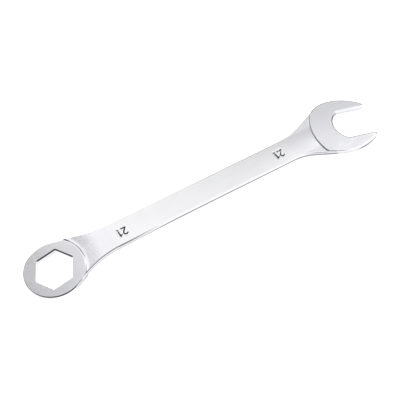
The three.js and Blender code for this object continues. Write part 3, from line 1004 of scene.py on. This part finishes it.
build_ring(ring_chrome)
build_neck(
    "ring_neck_forging", "neck_plating", "ring_neck", neck_chrome,
    SHANK_START, RING_NECK_STOP, seen_ring(), to_ring_plane,
    lambda x: -ring_neck_half(x) - flank(x), lambda x: ring_neck_half(x) + far_flank(x),
    ring_neck_top, ring_neck_low, (bar_shade, far_shade), hollow=True)
build_shank(bar_chrome, list(figures.values()))
build_neck(
    "open_neck_forging", "neck_plating", "open_neck", neck_chrome,
    SHANK_END, JAW_NECK_STOP, evenly(head_outline(), 0.3, 3), to_jaw_plane,
    lambda x: neck_side(-1, JAW_NECK_SLOPE[0], x), open_neck_high,
    lambda x, y: SHANK_THICKNESS[1] / 2 - crown(y), lambda x, y: -SHANK_THICKNESS[1] / 2,
    (lambda x: 0.0, far_shade), PAD_GROOVE)
build_head(head_chrome)
for name, ring in figures.items():
    build_stamp(f"{name}_stamp", ring, dirt_and_shade, name)

# ---------- floor, light and camera ----------

# Steps of the ceiling's brightness: where across each begins and ends, and by how much.
CEILING_STEPS = ((-0.2, 0.25, -0.12), (0.41, 0.60, -0.28), (0.53, 0.64, 0.22),
                 (0.705, 0.75, -0.26), (0.8, 1.4, 0.3))
CEILING_COLOUR = (0.985, 0.985, 1.0, 1)
LOWEST_RISE = 0.04       # directions lower than this count as this high

CAMERA_AZIMUTH = math.radians(-32.398)
CAMERA_ELEVATION = math.radians(55.474)
CAMERA_DISTANCE = 0.583679   # metres
CAMERA_AIM = Vector((-0.00892, -0.00477, 0.01123))
CAMERA_LENS = 92.40      # millimetres, on the sensor's width
SENSOR_WIDTH = 36


def build_floor():
    mesh = bpy.data.meshes.new("table")
    size = 3.0
    mesh.from_pydata([(-size, -size, 0), (size, -size, 0), (size, size, 0), (-size, size, 0)],
                     [], [(0, 1, 2, 3)])
    material = bpy.data.materials.new("table_white")
    material.use_nodes = True
    shader = material.node_tree.nodes["Principled BSDF"]
    shader.inputs["Base Color"].default_value = (0.93, 0.93, 0.935, 1)
    shader.inputs["Roughness"].default_value = 0.9
    shader.inputs["Specular IOR Level"].default_value = 0.1
    shader.inputs["Emission Color"].default_value = (1, 1, 1, 1)
    shader.inputs["Emission Strength"].default_value = 0.6
    mesh.materials.append(material)
    floor = bpy.data.objects.new("table", mesh)
    bpy.context.scene.collection.objects.link(floor)


def build_backdrop():
    """A plain white screen all round, far off. It is only seen directly, never reflected."""
    count, radius, height = 96, 2.8, 2.2
    turns = [2 * math.pi * i / count for i in range(count)]
    points = [(radius * math.cos(t), radius * math.sin(t), z)
              for z in (-0.01, height) for t in turns]
    faces = [(i, (i + 1) % count, count + (i + 1) % count, count + i) for i in range(count)]
    mesh = bpy.data.meshes.new("backdrop")
    mesh.from_pydata(points, [], faces)
    material = bpy.data.materials.new("backdrop_white")
    material.use_nodes = True
    shader = material.node_tree.nodes["Principled BSDF"]
    shader.inputs["Base Color"].default_value = (0.9, 0.9, 0.9, 1)
    shader.inputs["Emission Color"].default_value = (1, 1, 1, 1)
    shader.inputs["Emission Strength"].default_value = 0.9
    mesh.materials.append(material)
    screen = bpy.data.objects.new("backdrop", mesh)
    screen.visible_diffuse = screen.visible_glossy = screen.visible_shadow = False
    bpy.context.scene.collection.objects.link(screen)


def build_world():
    """A soft ceiling, darker to the left, in front on the left and along most of the horizon.

    Across and ahead are where a direction meets a ceiling one unit up. The steps are set for
    the main view, where each flat face shows one direction of the room.
    """
    world = bpy.data.worlds.new("studio")
    bpy.context.scene.world = world
    world.use_nodes = True
    tree = world.node_tree
    coords = node(tree, "ShaderNodeTexCoord")
    parts = node(tree, "ShaderNodeSeparateXYZ")
    tree.links.new(coords.outputs["Generated"], parts.inputs[0])
    height = math_node(tree, "MAXIMUM", parts.outputs["Z"], LOWEST_RISE)
    across = math_node(tree, "DIVIDE", parts.outputs["X"], height)
    ahead = math_node(tree, "DIVIDE", parts.outputs["Y"], height)
    light = ramp(tree, across, -0.264, -0.234, 0.555, 1.24)
    for low, high, change in CEILING_STEPS:
        light = math_node(tree, "ADD", light, ramp(tree, across, low, high, 0.0, change))
    light = math_node(tree, "MULTIPLY", light, ramp(tree, across, -0.8, -0.35, 0.85, 1.0))
    side = math_node(tree, "MULTIPLY", ramp(tree, across, -0.12, 0.08, 1.0, 0.0),
                     ramp(tree, ahead, 0.56, 0.62, 0.09, 0.0))
    light = math_node(tree, "SUBTRACT", light, side)
    tilt = math_node(tree, "MULTIPLY", ramp(tree, ahead, 0.55, 0.67, 0.5, -0.36),
                     ramp(tree, across, 0.56, 0.76, 0.0, 1.7))
    light = math_node(tree, "ADD", light, tilt)
    front = ramp(tree, parts.outputs["X"], -0.05, 0.12, 0.25, 1.12)
    share = ramp(tree, ahead, -0.5, 0.15, 1.0, 0.0)
    light = math_node(tree, "ADD", math_node(tree, "MULTIPLY", front, share),
                      math_node(tree, "MULTIPLY", light, math_node(tree, "SUBTRACT", 1.0, share)))
    horizon = math_node(tree, "MAXIMUM", ramp(tree, parts.outputs["Z"], 0.0, 0.16, 0.5, 1.0),
                        ramp(tree, parts.outputs["X"], 0.45, 0.65, 0.5, 1.0))
    light = math_node(tree, "MULTIPLY", light, horizon)
    tree.links.new(light, tree.nodes["Background"].inputs["Strength"])
    tree.nodes["Background"].inputs["Color"].default_value = CEILING_COLOUR


def build_table_light():
    """Keeps the table white. It is wide and high, so it leaves next to no shadow."""
    data = bpy.data.lights.new("table_light", "SUN")
    data.energy = 1.2
    data.angle = math.radians(150)
    light = bpy.data.objects.new("table_light", data)
    light.visible_glossy = False
    bpy.context.scene.collection.objects.link(light)


def build_camera():
    level = math.cos(CAMERA_ELEVATION)
    back = Vector((math.sin(CAMERA_AZIMUTH) * level, -math.cos(CAMERA_AZIMUTH) * level,
                   math.sin(CAMERA_ELEVATION)))
    data = bpy.data.cameras.new("camera")
    data.sensor_width = SENSOR_WIDTH
    data.lens = CAMERA_LENS
    data.clip_start, data.clip_end = 0.01, 10
    camera = bpy.data.objects.new("camera", data)
    camera.location = CAMERA_AIM + back * CAMERA_DISTANCE
    camera.rotation_euler = (-back).to_track_quat("-Z", "Y").to_euler()
    bpy.context.scene.collection.objects.link(camera)
    bpy.context.scene.camera = camera


build_floor()
build_backdrop()
build_world()
build_table_light()
build_camera()
bpy.context.scene.view_settings.view_transform = "Standard"
